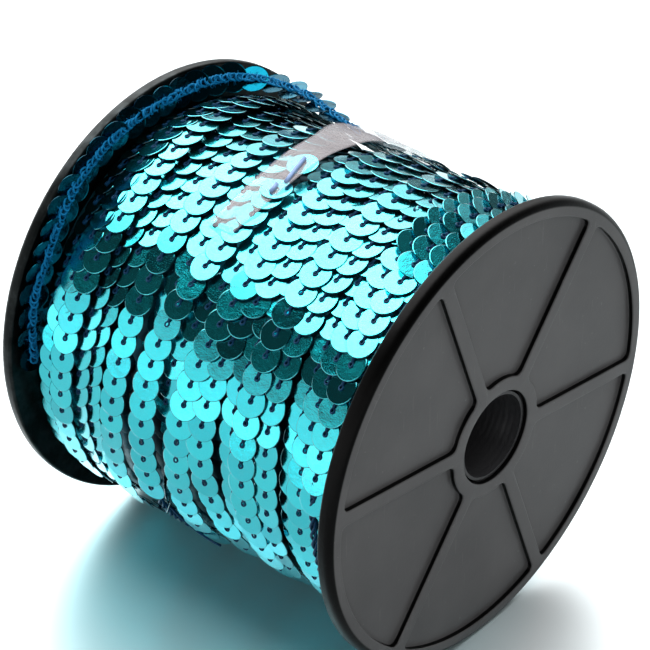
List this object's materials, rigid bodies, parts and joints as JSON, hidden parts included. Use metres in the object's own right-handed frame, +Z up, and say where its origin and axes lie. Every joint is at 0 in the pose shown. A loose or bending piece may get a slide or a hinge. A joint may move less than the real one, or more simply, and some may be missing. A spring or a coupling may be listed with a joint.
{
  "type": "sequin trim on a reel",
  "caption": "Overlapped round sequin trim wound on a ribbed plastic reel, its last stretch standing by one flange and its end held by clear tape.",
  "frame": {"origin": "middle of the resting line under the reel, at the height of the surface it lies on", "axes": "+X along the reel's turning axis towards the flange that faces the viewer, +Z up"},
  "size_m": [0.082, 0.09, 0.09],
  "materials": {
    "moulded_plastic": "black injection-moulded, satin",
    "tube_plastic": "black extruded tube, satin",
    "sequins": "turquoise metallised polyester film, mirror-like",
    "thread": "blue polyester stitching thread",
    "clear_film": "clear adhesive tape, glossy and a little milky"
  },
  "bodies": {
    "root": {"flange_near": "moulded_plastic", "flange_far": "moulded_plastic", "core_tube": "tube_plastic", "trim_winding": "sequins", "trim_end": "sequins", "end_tape": "clear_film"}
  },
  "joints": []
}
